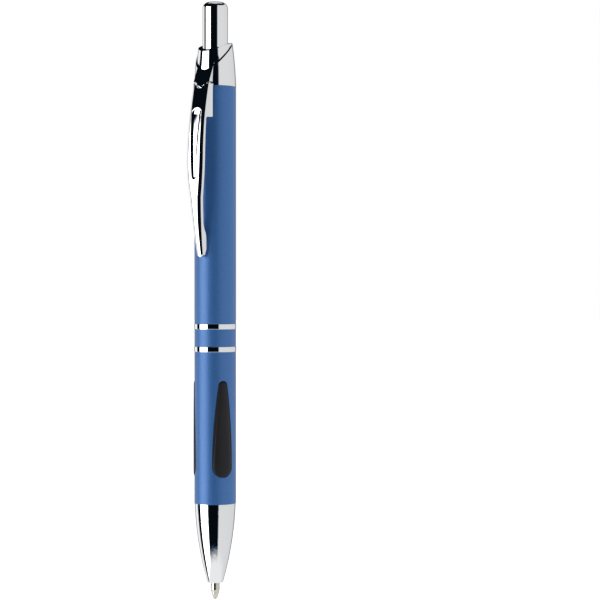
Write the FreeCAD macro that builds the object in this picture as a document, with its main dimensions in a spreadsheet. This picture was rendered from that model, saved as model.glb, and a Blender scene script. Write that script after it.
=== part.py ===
"""Retractable ballpoint pen, as a parametric FreeCAD document.

Heights in the sheet are measured up the pen's axis from the ball, with the point out. Every piece is
modelled on those heights and then placed so that the origin lies on the axis, half way along the bare
stretch of barrel between the clip and the trim rings. The clip is on the -Y side and the point is down.
"""
import FreeCAD, Part
import math
import os
import re

import Sketcher

Vector = FreeCAD.Vector
Rotation = FreeCAD.Rotation
Constraint = Sketcher.Constraint

START, END, CENTRE = 1, 2, 3
ORIGIN, VERTICAL_AXIS = -1, -2
LEFT, RIGHT = 1, -1
XZ_TURN = Rotation(Vector(1, 0, 0), 90)
YZ_TURN = Rotation(Vector(1, 1, 1), 120)

# Driving dimensions, in millimetres and degrees.
SIZES = [
    ("pen_length", 140.0, "ball to button top, point out"),
    ("origin_height", 71.75, "middle of the bare barrel"),
    ("barrel_radius", 4.875, "painted tubes, outside"),
    ("barrel_wall", 0.45, "painted tubes, wall"),
    ("ring_radius", 4.95, "trim rings stand slightly proud"),
    ("ring_height", 1.25, "each trim ring"),
    ("ring_bevel", 0.1, "rounded edges of the rings"),
    ("band_height", 4.05, "painted band between the rings"),
    ("seat_radius", 4.2, "shoulder that carries rings and band"),
    ("fit_gap", 0.025, "radial gap of a glued or pressed fit"),
    ("end_gap", 0.1, "gap between pieces that stand end to end"),
    ("slide_gap", 0.05, "radial gap of a sliding fit"),
    ("mouth_height", 3.9, "bottom of the nose"),
    ("mouth_radius", 1.8, "nose at its mouth, outside"),
    ("mouth_bore", 1.12, "hole that the point comes out of"),
    ("nose_top", 22.5, "top of the visible nose"),
    ("nose_top_radius", 4.8, "nose where it meets the barrel"),
    ("nose_curve", 76.0, "radius of the ogive"),
    ("spring_ledge", 7.0, "spring seat inside the nose"),
    ("spring_pocket", 1.9, "radius of the spring's pocket"),
    ("nose_spigot", 5.0, "length of nose inside the barrel"),
    ("nose_bore", 3.2, "bore of the nose above the spring's pocket"),
    ("nose_bore_foot", 22.0, "lower end of that bore"),
    ("pocket_head", 16.0, "where the pocket starts to widen"),
    ("mouth_round", 0.25, "rounded lip of the mouth"),
    ("lower_top", 58.0, "top of the lower barrel"),
    ("insert_foot", 51.5, "lower end of the threaded insert"),
    ("thread_radius", 3.2, "pitch radius of the barrel thread"),
    ("thread_half", 0.2, "undercut beside the thread"),
    ("thread_length", 4.5, "six turns of 0.75"),
    ("connector_bore", 2.2, "passage for the refill"),
    ("connector_top", 74.0, "top of the joiner in the upper barrel"),
    ("grip_foot", 28.9, "lower end of the pads"),
    ("pad_foot_radius", 2.35, "rounded foot of a pad"),
    ("pad_head_radius", 1.01, "rounded head of a pad"),
    ("pad_side_height", 18.95, "foot centre to head centre"),
    ("pad_side_curve", 133.7, "radius of a pad's long sides"),
    ("pad_proud", 0.22, "height of the pads over the barrel"),
    ("pad_round", 0.3, "rounded edge of the pads"),
    ("pads_turn", -4, "turn of the pads about the axis, where the front half's thread stops"),
    ("window_gap", 0.12, "gap around each pad"),
    ("liner_bore", 3.6, "bore of the grip liner"),
    ("upper_top", 120.1, "top of the upper barrel"),
    ("collar_foot_radius", 4.92, "collar where it meets the barrel"),
    ("collar_head_radius", 4.05, "collar at its top"),
    ("collar_curve", 100.0, "crown of the collar's side"),
    ("collar_head", 130.5, "top of the collar, at the back"),
    ("rim_foot_reach", 4.1, "foot of the shell's swept edge, in front of the axis"),
    ("rim_curve", 20.6, "radius of that edge"),
    ("rim_head_reach", 2.0, "head of that edge, behind the axis"),
    ("rim_bevel", 0.2, "bevel of the shell's rim, down its side"),
    ("rim_bevel_width", 0.14, "bevel of the rim, across its top"),
    ("rim_bevel_foot", 124.0, "the bevel is only on edges above this"),
    ("neck_foot_radius", 4.76, "inner neck at its foot, inside the shell"),
    ("neck_head_radius", 3.85, "inner neck at its top"),
    ("neck_front", 128.1, "neck's top at the front"),
    ("neck_front_reach", 4.15, "front end of the neck's swept top, from the axis"),
    ("neck_curve", 17.0, "radius of that swept top"),
    ("neck_bore", 3.02, "button runs in this"),
    ("button_ledge", 127.1, "stops the button's flange"),
    ("flange_bore", 3.4, "room for the button's flange"),
    ("spigot_foot", 112.5, "lower end of the collar's spigot"),
    ("spigot_overlap", 0.2, "height of spigot inside the shell"),
    ("bore_stock", 0.2, "wall left inside the neck for its bore to remove"),
    ("sleeve_seat_bore", 3.65, "collar bore that holds the sleeve"),
    ("hood_width", 4.4, "width of clip and hood"),
    ("hood_head", 125.9, "top of the hood's wedge, inside the neck"),
    ("hood_root", 3.5, "back of the wedge, from the axis"),
    ("hood_reach", 6.3, "hood's front edge, from the axis"),
    ("hood_foot", 119.7, "lower end of the wedge before its lip is cut"),
    ("hood_lip", 120.9, "hood's lip at its sides"),
    ("tongue_top_half", 1.95, "half width of the lip's dip, at its top"),
    ("tongue_foot_half", 0.9, "half width of the rounded part of the dip"),
    ("tongue_drop", 0.77, "height between those two widths"),
    ("tongue_top_round", 1.4, "curve at the dip's sides"),
    ("tongue_foot_round", 1.3, "curve of the rounded part"),
    ("part_line", 0.1, "gap between hood and clip"),
    ("clip_back", 4.3, "back of the root block, inside the barrel's line"),
    ("clip_root", 120.1, "where the clip's bowed face starts"),
    ("clip_top_reach", 6.05, "clip's top edge, from the axis"),
    ("clip_foot", 80.0, "lower end of the clip"),
    ("clip_bow_height", 100.7, "where the clip stands out most"),
    ("clip_bow", 8.87, "clip face there, from the axis"),
    ("clip_top_curve", 73.9, "radius of the clip's face above it"),
    ("clip_low_curve", 85.9, "radius of the clip's face below it"),
    ("clip_thickness", 1.2, "clip, seen from the side"),
    ("clip_round", 0.25, "rounded edges of the clip's face"),
    ("clip_foot_reach", 6.4, "clip face at its foot"),
    ("clip_foot_half", 0.75, "half width at the foot"),
    ("clip_foot_curve", 0.78, "rounded foot, seen from the front"),
    ("clip_foot_rise", 0.7, "height where the sides meet the rounded foot"),
    ("clip_toe_front", 0.25, "height of the foot's front corner over the foot"),
    ("clip_toe_reach", 5.9, "bottom of the foot, from the axis"),
    ("clip_toe_rise", 0.9, "height of the foot's inner corner over the foot"),
    ("clip_toe_curve", 0.7, "rounded foot, seen from the side"),
    ("clip_side_curve", 60.0, "flare of the clip's sides"),
    ("clip_low_half", 1.5, "half width at the recess's foot"),
    ("clip_low_height", 94.0, "height of that width"),
    ("clip_shoulder", 105.5, "full width above this"),
    ("skirt_reach", 5.55, "front of the root block's foot, from the axis"),
    ("skirt_front_foot", 112.55, "lower end of the root block, at that front"),
    ("skirt_back_foot", 112.65, "lower end of the root block, at its back"),
    ("skirt_round_reach", 6.85, "lower end of the round under it, from the axis"),
    ("skirt_round_foot", 111.6, "height of that end"),
    ("hollow_reach", 6.84, "top of the hollow over the bump, from the axis"),
    ("hollow_head", 88.8, "height of the hollow's top"),
    ("bump_head_reach", 5.71, "top of the bump, from the axis"),
    ("bump_head", 85.6, "height of the bump's top"),
    ("bump_foot_reach", 5.41, "lower end of the bump, from the axis"),
    ("bump_height", 83.0, "where the clip touches the barrel"),
    ("bump_reach", 4.96, "bump's crest, from the axis"),
    ("bump_curve", 4.5, "bump, seen from the side"),
    ("bump_hollow_curve", 6.0, "hollow above the bump"),
    ("skirt_round", 0.9, "corner between the root block and the bow"),
    ("recess_head", 114.6, "top of the groove in the clip's face"),
    ("recess_foot", 98.0, "bottom of that groove"),
    ("recess_head_half", 1.45, "half width at its top"),
    ("recess_foot_half", 0.75, "half width at its bottom"),
    ("recess_depth", 0.45, "depth of that groove"),
    ("recess_low_reach", 5.89, "groove's floor carried down to the clip's foot"),
    ("button_radius", 2.97, "click button"),
    ("button_bore", 2.4, "hollow of the button"),
    ("button_flange", 3.35, "flange that keeps the button in"),
    ("flange_foot", 121.4, "lower end of the button"),
    ("flange_height", 1.1, "height of its flange"),
    ("button_round", 1.45, "rounded edge of the button's top"),
    ("button_roof", 1.4, "thickness of the button's top"),
    ("plunger_head", 136.0, "top of the plunger in the button"),
    ("plunger_radius", 2.25, "plunger inside the sleeve"),
    ("plunger_foot", 105.95, "toothed end of the plunger"),
    ("plunger_bore", 1.35, "guides the cam's pin"),
    ("spline_reach", 2.75, "splines and cam ribs, from the axis"),
    ("spline_width", 0.9, "splines and cam ribs"),
    ("spline_head", 118.0, "top of the plunger's splines"),
    ("sleeve_foot", 106.0, "toothed end of the cam sleeve"),
    ("sleeve_step", 112.4, "where the sleeve narrows"),
    ("sleeve_head", 119.8, "top of the cam sleeve"),
    ("sleeve_narrow", 3.6, "sleeve inside the collar's spigot"),
    ("sleeve_bore", 2.35, "bore of the sleeve"),
    ("slot_reach", 2.95, "floor of the slots, from the axis"),
    ("slot_width", 1.1, "slots in the sleeve"),
    ("tooth_depth", 0.7, "notches under the plunger"),
    ("tooth_width", 0.8, "width of one notch"),
    ("saw_depth", 0.6, "teeth under the sleeve"),
    ("saw_width", 1.6, "width of one latch notch"),
    ("cam_foot", 98.05, "lower end of the rotary cam"),
    ("cam_radius", 1.7, "cam's hub"),
    ("cam_shoulder", 105.4, "top of the hub"),
    ("cam_rib_foot", 101.8, "lower end of the ribs"),
    ("cam_rib_head", 105.75, "high side of a rib's slanted top"),
    ("cam_rib_slant", 0.5, "drop across that top"),
    ("cam_pin", 1.2, "pin that runs in the plunger"),
    ("cam_pin_head", 111.0, "top of that pin"),
    ("ball_radius", 0.4, "writing ball"),
    ("ball_gap", 0.03, "running gap of the ball"),
    ("point_shaft", 1.05, "shaft of the writing point"),
    ("point_cone_head", 1.2, "top of the cone that holds the ball"),
    ("point_neck_head", 2.0, "top of the neck above it"),
    ("point_step_head", 2.2, "full shaft above this"),
    ("point_bore", 0.6, "ink passage"),
    ("point_bore_foot", 6.0, "lower end of that passage"),
    ("ink_hole", 0.22, "fine hole behind the ball"),
    ("ink_hole_head", 5.4, "top of the fine hole"),
    ("tube_foot", 20.0, "front end of the refill tube"),
    ("tube_head", 96.9, "rear end of the refill tube"),
    ("tube_radius", 1.55, "refill tube, outside"),
    ("tube_bore", 1.06, "refill tube, inside"),
    ("point_plug", 5.0, "length of point inside the tube"),
    ("ink_foot", 25.2, "bottom of the ink"),
    ("ink_head", 80.0, "top of the ink"),
    ("follower_height", 4.0, "grease plug on the ink"),
    ("cap_head", 98.0, "top of the refill"),
    ("cap_plug", 4.0, "length of cap inside the tube"),
    ("vent_radius", 0.25, "air hole in the cap"),
    ("wire_radius", 0.2, "spring wire"),
    ("coil_radius", 1.4, "spring, to the wire's centre"),
    ("coil_pitch", 1.25, "spring at rest"),
    ("cut_margin", 3.0, "how far a cut runs past what it cuts"),
    ("cut_reach", 12.0, "how far a cut runs out in front of the pen"),
    ("cut_width", 20.0, "width of a cut right across the pen"),
]
NAMES = {name for name, _, _ in SIZES}
HOOD_SLOPE = "(hood_head - hood_foot) / (hood_reach - hood_root)"

doc = FreeCAD.newDocument("Pen")
sheet = doc.addObject("Spreadsheet::Sheet", "Sizes")
pieces = []


def fill_sheet():
    """Write the driving dimensions into the sheet, one row each."""
    for row, (name, value, note) in enumerate(SIZES, start=1):
        sheet.set("A%d" % row, note)
        sheet.set("B%d" % row, str(value))
        sheet.setAlias("B%d" % row, name)
    doc.recompute()


def bound(formula):
    """Turn a formula in sheet names into an expression that reads the sheet."""
    return re.sub(r"[a-z_]+[a-z]", lambda m: "Sizes." + m[0] if m[0] in NAMES else m[0], str(formula))


def size(formula):
    """Value of a formula in sheet names."""
    return float(sheet.evalExpression(bound(formula)))


def arc_between(start, end, radius, side):
    """Arc between two points that bulges LEFT or RIGHT of the way there, always drawn anticlockwise."""
    chord = end - start
    half = chord.Length / 2
    left = Vector(-chord.y, chord.x, 0).normalize()
    rise = radius - math.sqrt(max(radius ** 2 - half ** 2, 0.0))
    middle = (start + end) / 2 + left * (side * rise)
    return Part.Arc(start, middle, end) if side == RIGHT else Part.Arc(end, middle, start)


def draw(sketch, outline):
    """Draw a closed outline whose corners and radii are bound to the sheet.

    Each step is (x, y) for a straight edge to the next corner, or (x, y, radius, side) for an arc.
    """
    corners = [Vector(size(step[0]), size(step[1]), 0) for step in outline]
    first = sketch.GeometryCount
    ends = []
    for index, step in enumerate(outline):
        here, there = corners[index], corners[(index + 1) % len(corners)]
        if len(step) == 4:
            edge = arc_between(here, there, size(step[2]), step[3])
        else:
            edge = Part.LineSegment(here, there)
        sketch.addGeometry(edge, False)
        ends.append((END, START) if step[-1] == LEFT else (START, END))
    for index, step in enumerate(outline):
        following = (index + 1) % len(outline)
        sketch.addConstraint(Constraint("Coincident", first + index, ends[index][1],
                                        first + following, ends[following][0]))
        bind_corner(sketch, first + index, ends[index][0], step, corners[index])
        if len(step) == 4:
            bind(sketch, Constraint("Radius", first + index, size(step[2])), step[2])


def bind_corner(sketch, edge, end, step, corner):
    """Hold one corner of an outline at its sheet coordinates."""
    if str(step[0]) == "0":
        sketch.addConstraint(Constraint("PointOnObject", edge, end, VERTICAL_AXIS))
    else:
        bind(sketch, Constraint("DistanceX", ORIGIN, START, edge, end, corner.x), step[0])
    bind(sketch, Constraint("DistanceY", ORIGIN, START, edge, end, corner.y), step[1])


def bind(sketch, constraint, formula):
    """Add a dimension and tie it to the sheet."""
    index = sketch.addConstraint(constraint)
    sketch.setExpression("Constraints[%d]" % index, bound(formula))


def draw_circle(sketch, radius):
    """Draw a circle about the sketch's origin."""
    circle = sketch.addGeometry(Part.Circle(Vector(), Vector(0, 0, 1), size(radius)), False)
    sketch.addConstraint(Constraint("Coincident", circle, CENTRE, ORIGIN, START))
    bind(sketch, Constraint("Radius", circle, size(radius)), radius)


def lower_to_origin(piece):
    """Place a finished piece so that the part's origin is on the bare barrel, and keep it."""
    piece.setExpression("Placement.Base.z", bound("-origin_height"))
    pieces.append(piece)
    return piece


def new_body(label):
    body = doc.addObject("PartDesign::Body", label)
    body.Label = label
    return lower_to_origin(body)


def body_sketch(body, plane, turn=0.0):
    """Sketch on one of the body's own planes, turned about the pen's axis for the upright planes."""
    sketch = body.newObject("Sketcher::SketchObject", "Outline")
    face = next(item for item in body.Origin.OriginFeatures if item.Role == plane)
    sketch.AttachmentSupport = [(face, "")]
    sketch.MapMode = "FlatFace"
    sketch.AttachmentOffset = FreeCAD.Placement(Vector(), Rotation(Vector(0, 1, 0), turn))
    return sketch


def turn_outline(body, outline, kind="PartDesign::Revolution"):
    """Spin an (r, z) outline about the pen's axis, as material or as a cut."""
    sketch = body_sketch(body, "XZ_Plane")
    draw(sketch, outline)
    feature = body.newObject(kind, "Turned")
    feature.Profile = sketch
    feature.ReferenceAxis = (sketch, ["V_Axis"])
    feature.Angle = 360
    doc.recompute()
    return feature


def turned(label, outline):
    """A body of revolution."""
    body = new_body(label)
    turn_outline(body, outline)
    return body


def tube(label, inner, outer, foot, head):
    """A plain tube between two heights."""
    return turned(label, [(inner, foot), (outer, foot), (outer, head), (inner, head)])


def push(body, kind, sketch, length, midplane=False, reverse=False):
    """Pad or pocket a sketch by a bound length."""
    feature = body.newObject(kind, "Pushed")
    feature.Profile = sketch
    feature.setExpression("Length", bound(length))
    feature.Midplane = midplane
    feature.Reversed = reverse
    doc.recompute()
    return feature


def repeat(body, feature, count):
    """Repeat a feature evenly about the pen's axis."""
    pattern = body.newObject("PartDesign::PolarPattern", "Repeated")
    pattern.Originals = [feature]
    axis = next(item for item in body.Origin.OriginFeatures if item.Role == "Z_Axis")
    pattern.Axis = (axis, [""])
    pattern.Angle = 360
    pattern.Occurrences = count
    body.Tip = pattern
    doc.recompute()
    return pattern


def edge_names(shape, wanted):
    """Names of the edges of a shape that pass a test."""
    return ["Edge%d" % number for number, edge in enumerate(shape.Edges, start=1) if wanted(edge)]


def circle_at(height, radius):
    """Test for a level circular edge of one height and radius."""
    def wanted(edge):
        curve = edge.Curve
        if not isinstance(curve, Part.Circle):
            return False
        return abs(curve.Center.z - size(height)) < 1e-4 and abs(curve.Radius - size(radius)) < 1e-4
    return wanted


def soften(body, wanted, radius, kind="PartDesign::Fillet"):
    """Round or bevel the edges of a body's last feature that pass a test."""
    base = body.Tip
    feature = body.newObject(kind, "Softened")
    feature.Base = (base, edge_names(base.Shape, wanted))
    if kind == "PartDesign::Fillet":
        feature.setExpression("Radius", bound(radius))
    else:
        feature.setExpression("Size", bound(radius))
    body.Tip = feature
    doc.recompute()
    return feature


# The lower half: nose, grip and what they hold.

def nose_cone():
    body = turned("nose_cone", [
        ("mouth_bore", "mouth_height"),
        ("mouth_radius", "mouth_height", "nose_curve", RIGHT),
        ("nose_top_radius", "nose_top"),
        ("barrel_radius - barrel_wall - fit_gap", "nose_top"),
        ("barrel_radius - barrel_wall - fit_gap", "nose_top + nose_spigot"),
        ("nose_bore", "nose_top + nose_spigot"),
        ("nose_bore", "nose_bore_foot"),
        ("spring_pocket", "pocket_head"),
        ("spring_pocket", "spring_ledge"),
        ("mouth_bore", "spring_ledge"),
    ])
    soften(body, circle_at("mouth_height", "mouth_radius"), "mouth_round")


def draw_teardrop(sketch, gap):
    """Teardrop of a grip pad, grown all round by a gap: four arcs, each tangent to the next."""
    foot_height = "grip_foot + pad_foot_radius"
    head_height = "grip_foot + pad_foot_radius + pad_side_height"
    foot = Vector(size("pad_foot_radius + %s" % gap), size(foot_height), 0)
    head = Vector(size("pad_head_radius + %s" % gap), size(head_height), 0)
    corners = [foot, head, Vector(-head.x, head.y, 0), Vector(-foot.x, foot.y, 0)]
    curves = ["pad_side_curve", "pad_head_radius", "pad_side_curve", "pad_foot_radius"]
    for index, curve in enumerate(curves):
        radius = size("%s + %s" % (curve, gap))
        edge = arc_between(corners[index], corners[(index + 1) % 4], radius, RIGHT)
        sketch.addGeometry(edge, False)
    for index, curve in enumerate(curves):
        sketch.addConstraint(Constraint("Tangent", index, END, (index + 1) % 4, START))
        bind(sketch, Constraint("Radius", index, size("%s + %s" % (curve, gap))), "%s + %s" % (curve, gap))
    for index, height in ((1, head_height), (3, foot_height)):
        sketch.addConstraint(Constraint("PointOnObject", index, CENTRE, VERTICAL_AXIS))
        bind(sketch, Constraint("DistanceY", ORIGIN, START, index, CENTRE, size(height)), height)


def lower_barrel():
    body = tube("lower_barrel", "barrel_radius - barrel_wall", "barrel_radius", "nose_top", "lower_top")
    window = body_sketch(body, "XZ_Plane", size("pads_turn"))
    draw_teardrop(window, "window_gap")
    cut = push(body, "PartDesign::Pocket", window, "cut_reach")
    repeat(body, cut, 3)


def upright_sketch(name, turn):
    """Free sketch whose x is level and whose y is the pen's axis."""
    sketch = doc.addObject("Sketcher::SketchObject", name)
    sketch.Placement = FreeCAD.Placement(Vector(), turn)
    return sketch


def extrude(sketch, name, forward, symmetric=False, reverse=False):
    solid = doc.addObject("Part::Extrusion", name)
    solid.Base = sketch
    solid.DirMode = "Normal"
    solid.Solid = True
    solid.Symmetric = symmetric
    solid.Reversed = reverse
    solid.setExpression("LengthFwd", bound(forward))
    return solid


def cylinder(name, radius, foot, height):
    solid = doc.addObject("Part::Cylinder", name)
    solid.setExpression("Radius", bound(radius))
    solid.setExpression("Height", bound(height))
    solid.setExpression("Placement.Base.z", bound(foot))
    return solid


def combine(kind, name, base, tool):
    result = doc.addObject(kind, name)
    result.Base = base
    result.Tool = tool
    doc.recompute()
    return result


def round_edges(base, name, wanted, radius):
    result = doc.addObject("Part::Fillet", name)
    result.Base = base
    chosen = [number for number, edge in enumerate(base.Shape.Edges, start=1) if wanted(edge)]
    result.Edges = [(number, radius, radius) for number in chosen]
    doc.recompute()
    return result


def grip_pad(number, turn):
    """One soft pad: a teardrop cut from a thick tube and rounded over its outer edge."""
    sketch = upright_sketch("PadOutline", Rotation(Vector(0, 0, 1), turn) * XZ_TURN)
    draw_teardrop(sketch, "0")
    teardrop = extrude(sketch, "PadPrism", "cut_reach", reverse=True)
    outside = cylinder("PadOutside", "barrel_radius + pad_proud", "grip_foot - 1", "pad_side_height + 6")
    inside = cylinder("PadInside", "barrel_radius - barrel_wall - fit_gap", "grip_foot - 2",
                      "pad_side_height + 8")
    shell = combine("Part::Cut", "PadShell", outside, inside)
    blank = combine("Part::Common", "PadBlank", shell, teardrop)
    middle = size("barrel_radius")

    def on_outer_face(edge):
        return all(math.hypot(v.X, v.Y) > middle for v in edge.Vertexes)

    pad = round_edges(blank, "grip_pad_%d" % number, on_outer_face, size("pad_round"))
    pad.Label = "grip_pad_%d" % number
    lower_to_origin(pad)


def front_pieces():
    nose_cone()
    lower_barrel()
    tube("grip_liner", "liner_bore", "barrel_radius - barrel_wall - fit_gap",
         "nose_top + nose_spigot + end_gap", "insert_foot - end_gap")
    for number in range(3):
        grip_pad(number + 1, 120 * number + size("pads_turn"))
    turned("threaded_insert", [
        ("thread_radius + slide_gap", "insert_foot"),
        ("barrel_radius - barrel_wall - fit_gap", "insert_foot"),
        ("barrel_radius - barrel_wall - fit_gap", "lower_top"),
        ("seat_radius", "lower_top"),
        ("seat_radius", "lower_top + ring_height - end_gap"),
        ("thread_radius + slide_gap", "lower_top + ring_height - end_gap"),
    ])


# The middle: rings, band and the joiner that carries them.

def middle_pieces():
    bore = "seat_radius + slide_gap"
    band_foot = "lower_top + ring_height"
    band_head = "lower_top + ring_height + band_height"
    upper_foot = "lower_top + 2 * ring_height + band_height"
    for label, foot, head in (("lower_trim_ring", "lower_top", band_foot),
                              ("upper_trim_ring", band_head, upper_foot)):
        ring = tube(label, bore, "ring_radius", foot, head)
        for height in (foot, head):
            soften(ring, circle_at(height, "ring_radius"), "ring_bevel")
    tube("centre_band", bore, "barrel_radius", band_foot, band_head)
    tube("upper_barrel", "barrel_radius - barrel_wall", "barrel_radius", upper_foot, "upper_top")
    turned("threaded_connector", [
        ("connector_bore", "lower_top - thread_length"),
        ("thread_radius - slide_gap", "lower_top - thread_length"),
        ("thread_radius - slide_gap", "lower_top"),
        ("thread_radius - thread_half", "lower_top"),
        ("thread_radius - thread_half", band_foot),
        ("seat_radius", band_foot),
        ("seat_radius", upper_foot),
        ("barrel_radius - barrel_wall - fit_gap", upper_foot),
        ("barrel_radius - barrel_wall - fit_gap", "connector_top"),
        ("connector_bore", "connector_top"),
    ])


# The top: collar, clip, button and click mechanism.

def hidden_body(name):
    """A body that is only an ingredient of a piece."""
    return doc.addObject("PartDesign::Body", name)


def collar_shell():
    """Conical shell whose top is swept down towards the clip, with a soft edge along the sweep."""
    body = hidden_body("CollarShell")
    turn_outline(body, [
        ("flange_bore", "upper_top"),
        ("collar_foot_radius", "upper_top", "collar_curve", RIGHT),
        ("collar_head_radius", "collar_head"),
        ("flange_bore", "collar_head"),
    ])
    rim_foot = "hood_head - (rim_foot_reach - hood_root) * %s" % HOOD_SLOPE
    sweep = body_sketch(body, "YZ_Plane")
    draw(sweep, [
        ("-cut_reach", "hood_foot"),
        ("-hood_reach", "hood_foot"),
        ("-rim_foot_reach", rim_foot, "rim_curve", LEFT),
        ("rim_head_reach", "collar_head"),
        ("rim_head_reach", "collar_head + cut_margin"),
        ("-cut_reach", "collar_head + cut_margin"),
    ])
    push(body, "PartDesign::Pocket", sweep, "cut_width", midplane=True)
    bevel_rim(body)
    return body


def bevel_rim(body):
    """Bevel the shell's outer edge, along the sweep and round the back, more across than down."""
    base = body.Tip
    neck = size("neck_head_radius")
    foot = size("rim_bevel_foot")

    def outer_rim(edge):
        middle = edge.valueAt((edge.FirstParameter + edge.LastParameter) / 2)
        upright = isinstance(edge.Curve, Part.Line)
        return not upright and math.hypot(middle.x, middle.y) > neck and middle.z > foot

    bevel = body.newObject("PartDesign::Chamfer", "RimBevel")
    bevel.Base = (base, edge_names(base.Shape, outer_rim))
    bevel.ChamferType = "Two distances"
    bevel.setExpression("Size", bound("rim_bevel"))
    bevel.setExpression("Size2", bound("rim_bevel_width"))
    body.Tip = bevel
    doc.recompute()


def collar_neck():
    """Inner neck that shows where the shell is swept away, and the spigot below it."""
    body = hidden_body("CollarNeck")
    spigot = "barrel_radius - barrel_wall - fit_gap"
    turn_outline(body, [
        ("neck_bore - bore_stock", "spigot_foot"),
        (spigot, "spigot_foot"),
        (spigot, "upper_top + spigot_overlap"),
        ("neck_foot_radius", "upper_top + spigot_overlap"),
        ("neck_head_radius", "collar_head"),
        ("neck_bore - bore_stock", "collar_head"),
    ])
    sweep = body_sketch(body, "YZ_Plane")
    draw(sweep, [
        ("-cut_reach", "neck_front"),
        ("-neck_front_reach", "neck_front", "neck_curve", LEFT),
        ("rim_head_reach", "collar_head"),
        ("rim_head_reach", "collar_head + cut_margin"),
        ("-cut_reach", "collar_head + cut_margin"),
    ])
    push(body, "PartDesign::Pocket", sweep, "cut_width", midplane=True)
    return body


def collar_hood():
    """Wedge that reaches out over the root of the clip, with a dipped lip."""
    body = hidden_body("CollarHood")
    wedge = body_sketch(body, "YZ_Plane")
    draw(wedge, [
        ("-hood_root", "hood_foot"),
        ("-hood_reach", "hood_foot"),
        ("-hood_root", "hood_head"),
    ])
    push(body, "PartDesign::Pad", wedge, "hood_width", midplane=True)
    lip = body_sketch(body, "XZ_Plane")
    dip = "hood_lip - tongue_drop"
    draw(lip, [
        ("-hood_width", "hood_foot - cut_margin"),
        ("hood_width", "hood_foot - cut_margin"),
        ("hood_width", "hood_lip"),
        ("tongue_top_half", "hood_lip", "tongue_top_round", RIGHT),
        ("tongue_foot_half", dip, "tongue_foot_round", LEFT),
        ("-tongue_foot_half", dip, "tongue_top_round", RIGHT),
        ("-tongue_top_half", "hood_lip"),
        ("-hood_width", "hood_lip"),
    ])
    push(body, "PartDesign::Pocket", lip, "cut_reach", reverse=True)
    barrel_room = body_sketch(body, "XY_Plane")
    draw_circle(barrel_room, "collar_foot_radius")
    push(body, "PartDesign::Pocket", barrel_room, "upper_top", reverse=True)
    return body


def collar_bore():
    """Room inside the collar for the sleeve, the flange and the button."""
    body = hidden_body("CollarBore")
    turn_outline(body, [
        ("0", "spigot_foot - 1"),
        ("sleeve_seat_bore", "spigot_foot - 1"),
        ("sleeve_seat_bore", "sleeve_head + end_gap"),
        ("flange_bore", "sleeve_head + end_gap"),
        ("flange_bore", "button_ledge"),
        ("neck_bore", "button_ledge"),
        ("neck_bore", "collar_head + 2"),
        ("0", "collar_head + 2"),
    ])
    return body


def top_collar():
    """The collar: shell, neck and hood as one casting, bored through."""
    shell = combine("Part::Fuse", "CollarRing", collar_shell(), collar_neck())
    solid = combine("Part::Fuse", "CollarSolid", shell, collar_hood())
    collar = combine("Part::Cut", "Collar", solid, collar_bore())
    collar.Label = "top_collar"
    lower_to_origin(collar)


def clip_side():
    """Side view of the clip: bowed face, root block, and a bump that touches the barrel."""
    sketch = upright_sketch("ClipSide", YZ_TURN)
    draw(sketch, [
        ("-clip_back", "hood_lip - part_line"),
        ("-clip_top_reach", "hood_lip - part_line"),
        ("-hood_reach", "clip_root", "clip_top_curve", RIGHT),
        ("-clip_bow", "clip_bow_height", "clip_low_curve", RIGHT),
        ("-clip_foot_reach", "clip_foot + clip_toe_front"),
        ("-clip_toe_reach", "clip_foot", "clip_toe_curve", RIGHT),
        ("-bump_foot_reach", "clip_foot + clip_toe_rise", "bump_curve", RIGHT),
        ("-bump_reach", "bump_height", "bump_curve", RIGHT),
        ("-bump_head_reach", "bump_head", "bump_hollow_curve", LEFT),
        ("-hollow_reach", "hollow_head", "clip_low_curve", LEFT),
        ("-(clip_bow - clip_thickness)", "clip_bow_height", "clip_top_curve", LEFT),
        ("-skirt_round_reach", "skirt_round_foot", "skirt_round", LEFT),
        ("-skirt_reach", "skirt_front_foot"),
        ("-clip_back", "skirt_back_foot"),
    ])
    return extrude(sketch, "ClipSideSolid", "hood_width * 2", symmetric=True)


def clip_front():
    """Front view of the clip: full width at its root, tapering to a rounded foot."""
    half = "hood_width / 2"
    sketch = upright_sketch("ClipFront", XZ_TURN)
    top = "hood_lip - part_line"
    dip = "hood_lip - part_line - tongue_drop"
    draw(sketch, [
        (half, top),
        (half, "clip_shoulder", "clip_side_curve", LEFT),
        ("clip_low_half", "clip_low_height"),
        ("clip_foot_half", "clip_foot + clip_foot_rise", "clip_foot_curve", LEFT),
        ("-clip_foot_half", "clip_foot + clip_foot_rise"),
        ("-clip_low_half", "clip_low_height", "clip_side_curve", LEFT),
        ("-(%s)" % half, "clip_shoulder"),
        ("-(%s)" % half, top),
        ("-tongue_top_half", top, "tongue_top_round", LEFT),
        ("-tongue_foot_half", dip, "tongue_foot_round", RIGHT),
        ("tongue_foot_half", dip, "tongue_top_round", LEFT),
        ("tongue_top_half", top),
    ])
    return extrude(sketch, "ClipFrontSolid", "cut_reach")


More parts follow.
